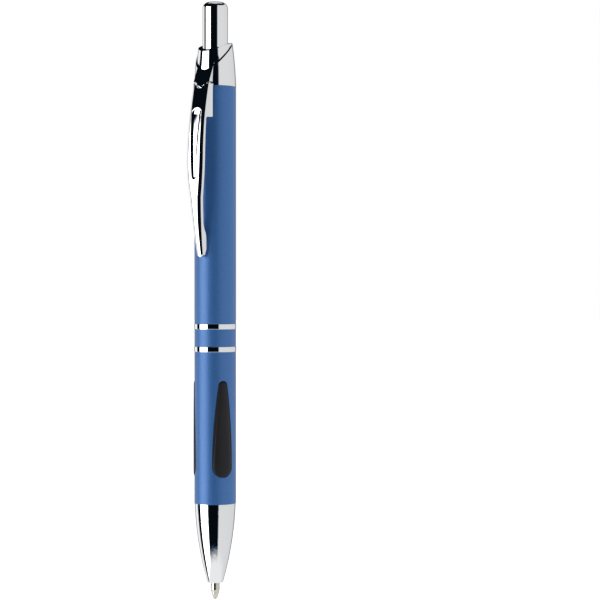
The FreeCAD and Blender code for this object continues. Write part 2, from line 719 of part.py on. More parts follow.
def clip_recess():
    """Long groove in the clip's face: arched top, narrow rounded bottom, even depth."""
    side = upright_sketch("RecessSide", YZ_TURN)
    floor = "clip_bow - recess_depth"
    draw(side, [
        ("-cut_reach", "clip_foot"),
        ("-recess_low_reach", "clip_foot", "clip_low_curve", LEFT),
        ("-(%s)" % floor, "clip_bow_height", "clip_top_curve", LEFT),
        ("-(hood_reach - recess_depth)", "clip_root"),
        ("-cut_reach", "clip_root"),
    ])
    depth = extrude(side, "RecessDepth", "hood_width * 2", symmetric=True)
    front = upright_sketch("RecessFront", XZ_TURN)
    draw(front, [
        ("recess_head_half", "recess_head - recess_head_half"),
        ("recess_foot_half", "recess_foot + recess_foot_half", "recess_foot_half * 1.002", LEFT),
        ("-recess_foot_half", "recess_foot + recess_foot_half"),
        ("-recess_head_half", "recess_head - recess_head_half", "recess_head_half * 1.002", LEFT),
    ])
    outline = extrude(front, "RecessOutline", "cut_reach")
    return combine("Part::Common", "Recess", depth, outline)


def pocket_clip():
    blank = combine("Part::Common", "ClipBlank", clip_side(), clip_front())
    room_height = "hood_lip - clip_foot + 2 * cut_margin"
    room = cylinder("BarrelRoom", "bump_reach", "clip_foot - cut_margin", room_height)
    shaped = combine("Part::Cut", "ClipShaped", blank, room)
    recessed = combine("Part::Cut", "ClipRecessed", shaped, clip_recess())

    def along_the_face(edge):
        """Long outer edges, where the clip's face meets its sides."""
        middle = edge.valueAt((edge.FirstParameter + edge.LastParameter) / 2)
        normals = [face.normalAt(*face.Surface.parameter(middle))
                   for face in recessed.Shape.ancestorsOfType(edge, Part.Face)]
        return any(n.y < -0.9 for n in normals) and any(n.x * middle.x > 0.5 for n in normals)

    clip = round_edges(recessed, "pocket_clip", along_the_face, size("clip_round"))
    clip.Label = "pocket_clip"
    lower_to_origin(clip)


def push_button():
    body = turned("push_button", [
        ("button_bore", "flange_foot"),
        ("button_flange", "flange_foot"),
        ("button_flange", "flange_foot + flange_height"),
        ("button_radius", "flange_foot + flange_height"),
        ("button_radius", "pen_length"),
        ("0", "pen_length"),
        ("0", "pen_length - button_roof"),
        ("button_bore", "pen_length - button_roof"),
    ])
    soften(body, circle_at("pen_length", "button_radius"), "button_round")


def rib(body, foot, low, high, reach, width, kind, turn=0.0):
    """One upright rib or slot on the +Y side, with a slanted top."""
    sketch = body_sketch(body, "XZ_Plane", turn)
    draw(sketch, [
        ("%s / 2" % width, foot),
        ("%s / 2" % width, low),
        ("-%s / 2" % width, high),
        ("-%s / 2" % width, foot),
    ])
    return push(body, kind, sketch, reach, reverse=kind.endswith("Pad"))


def plunger():
    body = turned("plunger", [
        ("0", "plunger_foot"),
        ("plunger_radius", "plunger_foot"),
        ("plunger_radius", "flange_foot"),
        ("button_bore - fit_gap", "flange_foot"),
        ("button_bore - fit_gap", "plunger_head"),
        ("0", "plunger_head"),
    ])
    spline = rib(body, "plunger_foot", "spline_head", "spline_head", "spline_reach", "spline_width",
                 "PartDesign::Pad")
    repeat(body, spline, 4)
    turn_outline(body, [
        ("0", "plunger_foot - 1"),
        ("plunger_bore", "plunger_foot - 1"),
        ("plunger_bore", "plunger_head + 1"),
        ("0", "plunger_head + 1"),
    ], "PartDesign::Groove")
    notch = rib(body, "plunger_foot - 1", "plunger_foot", "plunger_foot + tooth_depth", "spline_reach * 1.2",
                "tooth_width", "PartDesign::Pocket", 45)
    repeat(body, notch, 4)


def cam_sleeve():
    body = turned("cam_sleeve", [
        ("sleeve_bore", "sleeve_foot"),
        ("barrel_radius - barrel_wall - 2 * fit_gap", "sleeve_foot"),
        ("barrel_radius - barrel_wall - 2 * fit_gap", "sleeve_step"),
        ("sleeve_narrow", "sleeve_step"),
        ("sleeve_narrow", "sleeve_head"),
        ("sleeve_bore", "sleeve_head"),
    ])
    slot = rib(body, "sleeve_foot - 1", "sleeve_head + 1", "sleeve_head + 1", "slot_reach", "slot_width",
               "PartDesign::Pocket")
    repeat(body, slot, 4)
    notch = rib(body, "sleeve_foot - 1", "sleeve_foot", "sleeve_foot + saw_depth", "slot_reach", "saw_width",
                "PartDesign::Pocket", 45)
    repeat(body, notch, 4)


def rotary_cam():
    body = turned("rotary_cam", [
        ("0", "cam_foot"),
        ("cam_radius", "cam_foot"),
        ("cam_radius", "cam_shoulder"),
        ("cam_pin", "cam_shoulder"),
        ("cam_pin", "cam_pin_head"),
        ("0", "cam_pin_head"),
    ])
    blade = rib(body, "cam_rib_foot", "cam_rib_head - cam_rib_slant", "cam_rib_head", "spline_reach",
                "spline_width", "PartDesign::Pad")
    repeat(body, blade, 4)


def top_pieces():
    top_collar()
    pocket_clip()
    push_button()
    plunger()
    cam_sleeve()
    rotary_cam()


# The refill and its spring.

def refill_tip():
    socket = "ball_radius + ball_gap"
    turned("refill_tip", [
        ("ball_radius * 1.03", "ball_radius * 0.7"),
        ("ball_radius * 1.25", "ball_radius * 0.7"),
        ("point_shaft * 0.72", "point_cone_head"),
        ("point_shaft * 0.9", "point_neck_head"),
        ("point_shaft", "point_step_head"),
        ("point_shaft", "tube_foot"),
        ("tube_bore - fit_gap", "tube_foot"),
        ("tube_bore - fit_gap", "tube_foot + point_plug"),
        ("point_bore", "tube_foot + point_plug"),
        ("point_bore", "point_bore_foot"),
        ("ink_hole", "ink_hole_head"),
        ("ink_hole", "ball_radius * 1.923", socket, LEFT),
    ])


def writing_ball():
    ball = doc.addObject("Part::Sphere", "writing_ball")
    ball.Label = "writing_ball"
    ball.setExpression("Radius", bound("ball_radius"))
    ball.setExpression("Placement.Base.z", bound("ball_radius - origin_height"))
    pieces.append(ball)


def return_spring():
    body = new_body("return_spring")
    section = body_sketch(body, "XZ_Plane")
    wire = section.addGeometry(Part.Circle(Vector(size("coil_radius"), size("spring_ledge + wire_radius"), 0),
                                           Vector(0, 0, 1), size("wire_radius")), False)
    bind(section, Constraint("Radius", wire, size("wire_radius")), "wire_radius")
    bind(section, Constraint("DistanceX", ORIGIN, START, wire, CENTRE, size("coil_radius")), "coil_radius")
    bind(section, Constraint("DistanceY", ORIGIN, START, wire, CENTRE, size("spring_ledge + wire_radius")),
         "spring_ledge + wire_radius")
    coil = body.newObject("PartDesign::AdditiveHelix", "Coil")
    coil.Profile = section
    coil.ReferenceAxis = (section, ["V_Axis"])
    coil.Mode = "pitch-height-angle"
    coil.setExpression("Pitch", bound("coil_pitch"))
    coil.setExpression("Height", bound("tube_foot - spring_ledge - 2 * wire_radius"))
    doc.recompute()


def refill_pieces():
    refill_tip()
    writing_ball()
    tube("refill_tube", "tube_bore", "tube_radius", "tube_foot", "tube_head")
    turned("ink_column", [
        ("0", "ink_foot"),
        ("tube_bore - fit_gap", "ink_foot"),
        ("tube_bore - fit_gap", "ink_head"),
        ("0", "ink_head"),
    ])
    turned("ink_follower", [
        ("0", "ink_head"),
        ("tube_bore - fit_gap", "ink_head"),
        ("tube_bore - fit_gap", "ink_head + follower_height"),
        ("0", "ink_head + follower_height"),
    ])
    turned("refill_end_cap", [
        ("vent_radius", "tube_head - cap_plug"),
        ("tube_bore - fit_gap", "tube_head - cap_plug"),
        ("tube_bore - fit_gap", "tube_head"),
        ("tube_radius", "tube_head"),
        ("tube_radius", "cap_head"),
        ("vent_radius", "cap_head"),
    ])
    return_spring()


def write_parts():
    """Check every object, then write one STEP file for each piece."""
    doc.recompute()
    for item in doc.Objects:
        if "Invalid" in item.State or "Error" in item.State:
            raise RuntimeError("%s failed: %s" % (item.Label, item.State))
    for piece in pieces:
        if piece.Shape.isNull() or not piece.Shape.isValid() or len(piece.Shape.Solids) != 1:
            raise RuntimeError("%s has %d solids" % (piece.Label, len(piece.Shape.Solids)))
    os.makedirs("parts", exist_ok=True)
    for piece in pieces:
        piece.Shape.exportStep("parts/%s.step" % piece.Label)
        box = piece.Shape.BoundBox
        print("%-20s volume %8.2f  z %8.3f to %8.3f" % (piece.Label, piece.Shape.Volume, box.ZMin, box.ZMax))


fill_sheet()
front_pieces()
middle_pieces()
top_pieces()
refill_pieces()
write_parts()
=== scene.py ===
"""Looks of the retractable ballpoint pen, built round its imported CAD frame.

Metres, +Z up. The pen stands point down, with its clip towards -Y. The CAD frame gives its place.
"""

import math

import bmesh
import bpy
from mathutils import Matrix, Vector


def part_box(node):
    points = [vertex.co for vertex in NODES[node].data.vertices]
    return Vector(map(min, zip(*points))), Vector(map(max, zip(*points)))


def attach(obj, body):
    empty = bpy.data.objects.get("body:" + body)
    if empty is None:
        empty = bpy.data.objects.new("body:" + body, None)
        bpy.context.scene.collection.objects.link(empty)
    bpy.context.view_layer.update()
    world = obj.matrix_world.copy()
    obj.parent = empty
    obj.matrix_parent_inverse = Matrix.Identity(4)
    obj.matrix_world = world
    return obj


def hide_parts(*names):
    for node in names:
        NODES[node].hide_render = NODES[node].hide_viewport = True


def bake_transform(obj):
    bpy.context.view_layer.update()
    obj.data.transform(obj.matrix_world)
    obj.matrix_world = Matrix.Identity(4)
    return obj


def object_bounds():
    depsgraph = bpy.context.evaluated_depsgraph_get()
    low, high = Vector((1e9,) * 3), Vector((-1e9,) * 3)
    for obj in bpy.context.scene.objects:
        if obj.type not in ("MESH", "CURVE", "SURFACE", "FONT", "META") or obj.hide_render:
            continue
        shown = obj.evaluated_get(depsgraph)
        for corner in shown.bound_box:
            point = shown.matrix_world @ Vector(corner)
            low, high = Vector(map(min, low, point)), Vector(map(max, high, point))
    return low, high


MM = 0.001

# The camera: the clip stands to the left of the view, and the pen left of the picture's middle.
VIEW_TURN = math.radians(31.6)
CAMERA_DISTANCE = 469.5 * MM
LENS = 120.0
SENSOR = 36.0
CAMERA_SIDESTEP = 19.9 * MM
CAMERA_DROP = 1.6 * MM
NEAREST_SEEN = 0.01
FARTHEST_SEEN = 20

# The studio that the pen reflects: its light at each angle to the right of the camera, in degrees.
STUDIO_BANDS = [
    (-180, 0.22),
    (-152, 0.30),
    (-142, 0.95),
    (-117, 0.95),
    (-113, 0.004),
    (-92, 0.004),
    (-88, 3.5),
    (-44, 3.5),
    (-40, 0.004),
    (19, 0.004),
    (25, 0.76),
    (80, 0.76),
    (140, 0.72),
    (150, 0.30),
    (180, 0.22),
]
# Over the horizon the panels end, a dark gap follows, and then a soft ceiling. Angles in degrees.
PANEL_TOP_LEFT = 15.5
PANEL_TOP_RIGHT = 34.0
PANEL_TOP_TURN = 0.4  # radians to the right of the camera, where the panels reach their full height
CEILING_FOOT = 66.0
CEILING_FOOT_REAR = 46.0
CEILING_TURNS = (1.6, 2.4)  # radians round from the camera, between which its foot comes down
CEILING_LIGHT = 0.7
DARK_GAP = 0.005
STUDIO_EDGE = 6.0
# Below the horizon the white floor shows.
FLOOR_SEEN = -25.0
FLOOR_FADE = 8.0
FLOOR_LIGHT = 0.9
# Dark parts of the studio are tinted blue, up to this brightness.
DARK_TINT = (0.35, 0.75, 1.3, 1)
DARK_TINT_END = 0.3
# The real floor under the pen, clear of the front half when that is unscrewed.
FLOOR_GAP = 6.0 * MM
FLOOR_REACH = 6.0

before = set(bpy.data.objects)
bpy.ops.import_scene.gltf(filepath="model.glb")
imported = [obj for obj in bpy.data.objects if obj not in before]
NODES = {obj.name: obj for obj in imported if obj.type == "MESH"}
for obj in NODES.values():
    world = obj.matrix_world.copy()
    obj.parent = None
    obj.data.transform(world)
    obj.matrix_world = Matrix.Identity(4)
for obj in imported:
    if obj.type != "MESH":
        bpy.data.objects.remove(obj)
CAD_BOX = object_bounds()


def node_low(node):
    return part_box(node)[0]


def node_high(node):
    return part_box(node)[1]


# ---- material helpers -------------------------------------------------------------------------


class Shader:
    """A material's node tree with short calls to add and join nodes."""

    def __init__(self, name):
        self.material = bpy.data.materials.new(name)
        self.material.use_nodes = True
        self.tree = self.material.node_tree
        self.base = self.tree.nodes["Principled BSDF"]
        self.place = self.add("ShaderNodeTexCoord").outputs["Object"]

    def add(self, kind, **settings):
        node = self.tree.nodes.new(kind)
        for key, value in settings.items():
            setattr(node, key, value)
        return node

    def join(self, source, target):
        self.tree.links.new(source, target)

    def set(self, **values):
        for key, value in values.items():
            self.base.inputs[key.replace("_", " ")].default_value = value

    def noise(self, scale, detail=2.0, roughness=0.5, squeeze=None):
        """Noise at `scale` features to the metre; squeeze stretches it along an axis."""
        node = self.add("ShaderNodeTexNoise")
        node.inputs["Scale"].default_value = scale
        node.inputs["Detail"].default_value = detail
        node.inputs["Roughness"].default_value = roughness
        place = self.place
        if squeeze:
            mapping = self.add("ShaderNodeMapping")
            mapping.inputs["Scale"].default_value = squeeze
            self.join(place, mapping.inputs["Vector"])
            place = mapping.outputs["Vector"]
        self.join(place, node.inputs["Vector"])
        return node.outputs["Fac"]

    def spread(self, source, low, high, start=0.3, end=0.7):
        """The source's range start..end mapped to low..high."""
        node = self.add("ShaderNodeMapRange")
        node.inputs["From Min"].default_value = start
        node.inputs["From Max"].default_value = end
        node.inputs["To Min"].default_value = low
        node.inputs["To Max"].default_value = high
        self.join(source, node.inputs["Value"])
        return node.outputs["Result"]

    def blend_colours(self, share, first, second):
        node = self.add("ShaderNodeMix", data_type="RGBA")
        node.inputs["A"].default_value = (*first, 1)
        node.inputs["B"].default_value = (*second, 1)
        self.join(share, node.inputs["Factor"])
        return node.outputs["Result"]

    def bump(self, height, distance, strength=1.0):
        node = self.add("ShaderNodeBump")
        node.inputs["Distance"].default_value = distance
        node.inputs["Strength"].default_value = strength
        self.join(height, node.inputs["Height"])
        self.join(node.outputs["Normal"], self.base.inputs["Normal"])


def barrel_paint():
    """Satin metallic enamel: fine flakes, slow drift in tone, a thin clear coat."""
    s = Shader("barrel_paint_look")
    flakes = s.noise(5200, 1.0)
    drift = s.noise(60, 3.0)
    colour = s.blend_colours(s.spread(flakes, 0, 1), (0.034, 0.150, 0.420), (0.052, 0.200, 0.510))
    toned = s.add("ShaderNodeMix", data_type="RGBA", blend_type="MULTIPLY")
    toned.inputs["Factor"].default_value = 1.0
    s.join(colour, toned.inputs["A"])
    s.join(s.blend_colours(drift, (0.90, 0.92, 0.95), (1, 1, 1)), toned.inputs["B"])
    s.join(toned.outputs["Result"], s.base.inputs["Base Color"])
    s.join(s.spread(flakes, 0.54, 0.62), s.base.inputs["Roughness"])
    s.set(Metallic=0.62, Coat_Weight=0.8, Coat_Roughness=0.38)
    s.bump(flakes, 0.006 * MM)
    return s.material


def chrome_plate():
    """Bright chrome with a faint plating waviness and hardly visible wipe marks."""
    s = Shader("chrome_plate_look")
    wave = s.noise(60, 1.0)
    wipes = s.noise(260, 3.0, squeeze=(1, 1, 0.2))
    s.join(s.spread(wipes, 0.018, 0.045), s.base.inputs["Roughness"])
    colour = s.blend_colours(wave, (0.86, 0.87, 0.89), (0.93, 0.93, 0.94))
    s.join(colour, s.base.inputs["Base Color"])
    s.set(Metallic=1.0)
    s.bump(wave, 0.002 * MM)
    return s.material


def soft_grip():
    """Matt black elastomer with a fine moulded grain."""
    s = Shader("soft_grip_look")
    grain = s.noise(3800, 3.0)
    dust = s.noise(300, 4.0)
    colour = s.blend_colours(dust, (0.005, 0.005, 0.007), (0.011, 0.011, 0.014))
    s.join(colour, s.base.inputs["Base Color"])
    s.join(s.spread(grain, 0.46, 0.62), s.base.inputs["Roughness"])
    s.set(Specular_IOR_Level=0.32)
    s.bump(grain, 0.02 * MM)
    return s.material


def moulded(name, dark, light, roughness, subsurface=0.0):
    """Injection-moulded plastic with a slight mottle."""
    s = Shader(name)
    mottle = s.noise(700, 3.0)
    s.join(s.blend_colours(mottle, dark, light), s.base.inputs["Base Color"])
    s.join(s.spread(mottle, roughness - 0.05, roughness + 0.08), s.base.inputs["Roughness"])
    s.set(Subsurface_Weight=subsurface)
    s.base.inputs["Subsurface Scale"].default_value = 0.5 * MM
    s.bump(s.noise(2500, 2.0), 0.01 * MM)
    return s.material


def clear_tube():
    """Milky polypropylene refill tube."""
    s = Shader("clear_tube_look")
    haze = s.noise(400, 2.0)
    colour = s.blend_colours(haze, (0.86, 0.88, 0.90), (0.94, 0.95, 0.96))
    s.join(colour, s.base.inputs["Base Color"])
    s.join(s.spread(haze, 0.18, 0.30), s.base.inputs["Roughness"])
    s.set(Transmission_Weight=0.65, IOR=1.49)
    return s.material


def ink_paste(name, dark, light, roughness):
    """Thick glossy paste with faint swirls."""
    s = Shader(name)
    swirl = s.noise(500, 3.0)
    s.join(s.blend_colours(swirl, dark, light), s.base.inputs["Base Color"])
    s.join(s.spread(swirl, roughness, roughness + 0.1), s.base.inputs["Roughness"])
    return s.material


def turned_metal(name, dark, light, roughness, pitch, depth):
    """Metal with turning or drawing marks round its axis, `pitch` metres apart."""
    s = Shader(name)
    marks = s.noise(0.35 / pitch, 2.0, squeeze=(0.05, 0.05, 1))
    s.join(s.blend_colours(marks, dark, light), s.base.inputs["Base Color"])
    s.join(s.spread(marks, roughness - 0.05, roughness + 0.1), s.base.inputs["Roughness"])
    s.set(Metallic=1.0)
    s.bump(marks, depth)
    return s.material


def make_finishes():
    """A material for each slot of the CAD frame."""
    return {
        "barrel_paint": barrel_paint(),
        "chrome_plate": chrome_plate(),
        "soft_grip": soft_grip(),
        "black_plastic": moulded(
            "black_plastic_look", (0.012, 0.012, 0.013), (0.022, 0.022, 0.024), 0.38
        ),
        "white_plastic": moulded(
            "white_plastic_look", (0.74, 0.74, 0.72), (0.84, 0.84, 0.82), 0.34, 0.12
        ),
        "clear_tube": clear_tube(),
        "ink": ink_paste("ink_look", (0.004, 0.010, 0.085), (0.008, 0.022, 0.150), 0.2),
        "follower_grease": ink_paste(
            "follower_grease_look", (0.62, 0.55, 0.33), (0.72, 0.66, 0.42), 0.15
        ),
        "point_metal": turned_metal(
            "point_metal_look", (0.60, 0.57, 0.50), (0.80, 0.77, 0.69), 0.22, 0.08 * MM, 0.004 * MM
        ),
        "ball_carbide": turned_metal(
            "ball_carbide_look", (0.33, 0.33, 0.34), (0.45, 0.45, 0.46), 0.15, 0.05 * MM, 0.001 * MM
        ),
        "spring_steel": turned_metal(
            "spring_steel_look", (0.45, 0.45, 0.46), (0.62, 0.62, 0.63), 0.26, 0.05 * MM, 0.003 * MM
        ),
    }


FINISHES = make_finishes()


def finish_nodes():
    """Give every CAD node the material of its slot."""
    for node in NODES.values():
        slot_name = node.material_slots[0].material.name
        node.material_slots[0].material = FINISHES[slot_name]


finish_nodes()


# ---- pieces that Blender makes ----------------------------------------------------------------


def new_piece(name, points, faces, slot, body, replaced):
    """A smooth mesh piece in the place of a CAD node."""
    mesh = bpy.data.meshes.new(name)
    mesh.from_pydata(points, [], faces)
    mesh.validate()
    piece = bpy.data.objects.new(name, mesh)
    bpy.context.collection.objects.link(piece)
    return settle_piece(piece, slot, body, replaced)


def settle_piece(piece, slot, body, replaced):
    """Smooth shading, material, slot, replaced node and, unless the piece is blended, its body."""
    piece.data.shade_smooth()
    piece.data.materials.clear()
    piece.data.materials.append(FINISHES[slot])
    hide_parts(replaced)
    if body:
        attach(piece, body)
    return piece


def arc_reach(height, start, end, radius, outward):
    """Reach at a height on the arc from start to end, which bulges outward or inward.

    start and end are each (height, reach).
    """
    (h0, r0), (h1, r1) = start, end
    length = math.hypot(h1 - h0, r1 - r0)
    away = math.sqrt(radius**2 - length**2 / 4)
    side = (1 if outward else -1) * (1 if h1 > h0 else -1)
    centre_h = (h0 + h1) / 2 + side * away * (r1 - r0) / length
    centre_r = (r0 + r1) / 2 - side * away * (h1 - h0) / length
    rise = math.sqrt(max(radius**2 - (height - centre_h) ** 2, 0.0))
    return centre_r + (rise if outward else -rise)


# The clip, in millimetres: heights above the clip's foot, reach from the pen's axis.
CLIP_LENGTH = (node_high("pocket_clip").z - node_low("pocket_clip").z) / MM
CLIP_BOW = -node_low("pocket_clip").y / MM
CLIP_BOW_HEIGHT = 20.57
CLIP_UPPER_CURVE = 73.9
CLIP_LOWER_CURVE = 85.9
CLIP_THICKNESS = 1.2
CLIP_HALF = 2.2
CLIP_SHOULDER = 25.37
CLIP_SIDE_CURVE = 60
CLIP_LOW_HEIGHT = 13.87
CLIP_LOW_HALF = 1.5
CLIP_FOOT_HALF = 0.75
CLIP_FOOT_HEAD = 0.57
CLIP_FOOT_CURVE = 0.78
CLIP_TIP_HALF = 0.02
CLIP_BEVEL = 0.72
CLIP_BEVEL_SLOPE = math.tan(math.radians(29))
CLIP_DRAFT = math.tan(math.radians(10))
CLIP_DRAFT_REACH = 1.7
CLIP_DRAFT_FADE = 6.0
ROOT_FLARE = 0.3
ROOT_FLARE_START = 5.5
ROOT_FLARE_REACH = 0.75
CLIP_BACK_ROUND = 0.22
CLIP_BARREL_ROOM = 4.96
# Limits where the clip is narrow or thin, as shares of its half width and its thickness.
BEVEL_LIMITS = (0.6, 0.4)
BACK_ROUND_LIMITS = (0.12, 0.25)
# How far the bevel's two corners are eased, as shares of the bevel.
SOFT_CORNER = 0.3
CRISP_CORNER = 0.15
# The inner side: points as (height, reach), and the radii of the arcs between them.
SKIRT_HEIGHT = 32.45
SKIRT_STEP = 0.1
SKIRT_BACK = 4.3
SKIRT_FRONT = (SKIRT_HEIGHT, 5.55)
SKIRT_ROUND_FOOT = (SKIRT_HEIGHT - 1.0, 6.85)
SKIRT_ROUND = 0.9
HOLLOW_HEAD = (8.67, 6.84)
HOLLOW_CURVE = 6.0
BUMP_HEAD = (5.47, 5.71)
BUMP_CREST = (2.87, 4.96)
BUMP_FOOT = (0.77, 5.41)
BUMP_CURVE = 4.5
TOE = (-0.13, 5.9)
TOE_CURVE = 0.7
# The groove in the face.
RECESS_FOOT = 18.62
RECESS_HEAD = 33.02
RECESS_FOOT_HALF = 0.75
RECESS_HEAD_HALF = 1.45
RECESS_DEPTH = 0.34
RECESS_EDGE_SHARE = 0.25
# The top edge, which follows the hood's lip with its rounded tongue in the middle.
CLIP_HEAD = 2.5
LIP_BEVEL = 0.42
LIP_BEVEL_LEAN = 1.1
TONGUE_HALF = 1.95
TONGUE_SIDE_CENTRE = (2.157, 1.384)
TONGUE_SIDE_ROUND = 1.4
TONGUE_INNER_HALF = 0.9
TONGUE_DROP = 0.768
TONGUE_ROUND = 1.3
TONGUE_ROUND_RISE = 0.938
# How finely the clip is drawn: points round a section, and sections up its length.
POINTS_ACROSS = 60
SIDE_STEPS = 6
BACK_ROUND_STEPS = 4
FOOT_START = 0.003
FOOT_HEIGHT = 0.8
FOOT_STATIONS = 24
BOW_STATIONS = 250
BOW_END_GAP = 0.05
SKIRT_STATIONS = (-0.01, 0.02, 0.11)
ROOT_START = 0.25
ROOT_PITCH = 0.16
ROOT_STATIONS = 34
HEAD_STATIONS = 14
HEAD_LAST = 0.985
LIP_STATIONS = (0.0, 0.08, 0.5, 0.92, 1.0)


def clip_face(height):
    """Outer side of the clip: two arcs that meet where the clip stands out most."""
    curve = CLIP_UPPER_CURVE if height > CLIP_BOW_HEIGHT else CLIP_LOWER_CURVE
    return CLIP_BOW - (curve - math.sqrt(curve**2 - (height - CLIP_BOW_HEIGHT) ** 2))


def clip_back(height):
    """Inner side of the clip: root block, thin bow, then the bump near the foot."""
    if height > SKIRT_HEIGHT + SKIRT_STEP:
        return SKIRT_BACK
    if height > SKIRT_HEIGHT:
        return SKIRT_FRONT[1]
    if height > SKIRT_ROUND_FOOT[0]:
        return arc_reach(height, SKIRT_FRONT, SKIRT_ROUND_FOOT, SKIRT_ROUND, True)
    if height > HOLLOW_HEAD[0]:
        return clip_face(height) - CLIP_THICKNESS
    if height > BUMP_HEAD[0]:
        return arc_reach(height, HOLLOW_HEAD, BUMP_HEAD, HOLLOW_CURVE, True)
    if height > BUMP_CREST[0]:
        return arc_reach(height, BUMP_HEAD, BUMP_CREST, BUMP_CURVE, False)
    if height > BUMP_FOOT[0]:
        return arc_reach(height, BUMP_CREST, BUMP_FOOT, BUMP_CURVE, False)
    return arc_reach(max(height, 0.0), BUMP_FOOT, TOE, TOE_CURVE, False)


def clip_half(height):
    """Half width: full at the root, flared in below the shoulder, then tapered to a round foot."""
    if height > CLIP_SHOULDER:
        return CLIP_HALF
    if height > CLIP_LOW_HEIGHT:
        shoulder, low = (CLIP_SHOULDER, CLIP_HALF), (CLIP_LOW_HEIGHT, CLIP_LOW_HALF)
        return arc_reach(height, shoulder, low, CLIP_SIDE_CURVE, True)
    if height > CLIP_FOOT_HEAD:
        share = (height - CLIP_FOOT_HEAD) / (CLIP_LOW_HEIGHT - CLIP_FOOT_HEAD)
        return CLIP_FOOT_HALF + share * (CLIP_LOW_HALF - CLIP_FOOT_HALF)
    squared = CLIP_FOOT_CURVE**2 - (CLIP_FOOT_CURVE - height) ** 2
    return math.sqrt(max(squared, CLIP_TIP_HALF**2))


def teardrop_inset(x, height, foot_half, head_half, span):
    """How far inside a round-ended slot a point is, at a height over the centre of its foot."""
    lean = (foot_half - head_half) / span
    upright = math.sqrt(1 - lean * lean)
    x = abs(x)
    along = upright * height - lean * x
    if along < 0:
        return foot_half - math.hypot(x, height)
    if along > upright * span:
        return head_half - math.hypot(x, height - span)
    return foot_half - upright * x - lean * height


def recess_depth(x, height):
    """Depth of the groove in the clip's face, which is round-bottomed with a soft edge."""
    span = RECESS_HEAD - RECESS_FOOT
    inset = teardrop_inset(x, height - RECESS_FOOT, RECESS_FOOT_HALF, RECESS_HEAD_HALF, span)
    along = min(max((height - RECESS_FOOT) / span, 0.0), 1.0)
    half = RECESS_FOOT_HALF + (RECESS_HEAD_HALF - RECESS_FOOT_HALF) * along
    share = min(max(inset / half, 0.0), 1.0)
    bowl = 1 - (1 - share) ** 2
    edge = min(share / RECESS_EDGE_SHARE, 1.0)
    return RECESS_DEPTH * bowl * edge * (2 - edge)


def tongue_dip(x):
    """How far the clip's top edge dips to clear the hood's tongue."""
    x = abs(x)
    if x >= TONGUE_HALF:
        return 0.0
    if x >= TONGUE_INNER_HALF:
        centre_x, centre_dip = TONGUE_SIDE_CENTRE
        return centre_dip - math.sqrt(TONGUE_SIDE_ROUND**2 - (x - centre_x) ** 2)
    return TONGUE_DROP + math.sqrt(TONGUE_ROUND**2 - x * x) - TONGUE_ROUND_RISE


def soft_corner(before, corner, after, steps=8):
    """Points round a corner, from before it to after it."""
    points = []
    for i in range(steps + 1):
        share = i / steps
        first, second, third = (1 - share) ** 2, 2 * share * (1 - share), share**2
        blended = [first * a + second * b + third * c for a, b, c in zip(before, corner, after)]
        points.append(tuple(blended))
    return points


def clip_flare(height, reach):
    """How much wider the clip is behind its face: drafted sides, and a flare at the barrel."""
    free = min(max((SKIRT_HEIGHT - height) / CLIP_DRAFT_FADE, 0.0), 1.0)
    draft = free * CLIP_DRAFT * min(max(clip_face(height) - reach, 0.0), CLIP_DRAFT_REACH)
    if height < SKIRT_HEIGHT:
        return draft
    share = min(max(ROOT_FLARE_START - reach, 0.0) / ROOT_FLARE_REACH, 1.0)
    return draft + ROOT_FLARE * share * share


def clip_section(height):
    """Points round the clip at one height, as (x, reach), and how many are on its face and side.

    They run across the face, down the right side, back across the inner side and up the left side.
    """
    face, back, half = clip_face(height), clip_back(height), clip_half(height)
    thick = face - max(back, math.sqrt(max(CLIP_BARREL_ROOM**2 - half**2, 0)))
    bevel = min(CLIP_BEVEL, BEVEL_LIMITS[0] * half, BEVEL_LIMITS[1] * thick / CLIP_BEVEL_SLOPE)
    back_round = min(CLIP_BACK_ROUND, BACK_ROUND_LIMITS[0] * half, BACK_ROUND_LIMITS[1] * thick)
    inner, outer = (half - bevel, face), (half, face - bevel * CLIP_BEVEL_SLOPE)
    soft, crisp = SOFT_CORNER * bevel, CRISP_CORNER * bevel
    flat = inner[0] - soft
    front = [(flat * (2 * i / POINTS_ACROSS - 1), face) for i in range(POINTS_ACROSS + 1)]
    front = [(x, y - recess_depth(x, height)) for x, y in front]
    slope_start = (inner[0] + soft, face - soft * CLIP_BEVEL_SLOPE)
    slope_end = (half - crisp, outer[1] + crisp * CLIP_BEVEL_SLOPE)
    side_top = outer[1] - crisp
    right = soft_corner((flat, face), inner, slope_start)[1:]
    right += soft_corner(slope_end, outer, (half, side_top))
    back_flat = half - back_round

    def back_at(x):
        return max(back, math.sqrt(max(CLIP_BARREL_ROOM**2 - x * x, 0)))

    side_foot = back_at(back_flat) + back_round
    for i in range(1, SIDE_STEPS + 1):
        right.append((half, side_top + (side_foot - side_top) * i / SIDE_STEPS))
    for i in range(1, BACK_ROUND_STEPS + 1):
        turn = math.pi / 2 * i / BACK_ROUND_STEPS
        x = back_flat + back_round * math.cos(turn)
        right.append((x, side_foot - back_round * math.sin(turn)))
    inside = [back_flat * (1 - 2 * i / POINTS_ACROSS) for i in range(1, POINTS_ACROSS)]
    behind = [(x, back_at(x)) for x in inside]
    right = [(x + clip_flare(height, y), y) for x, y in right]
    left = [(-x, y) for x, y in reversed(right)]
    return front + right + behind + left, len(front), len(right)


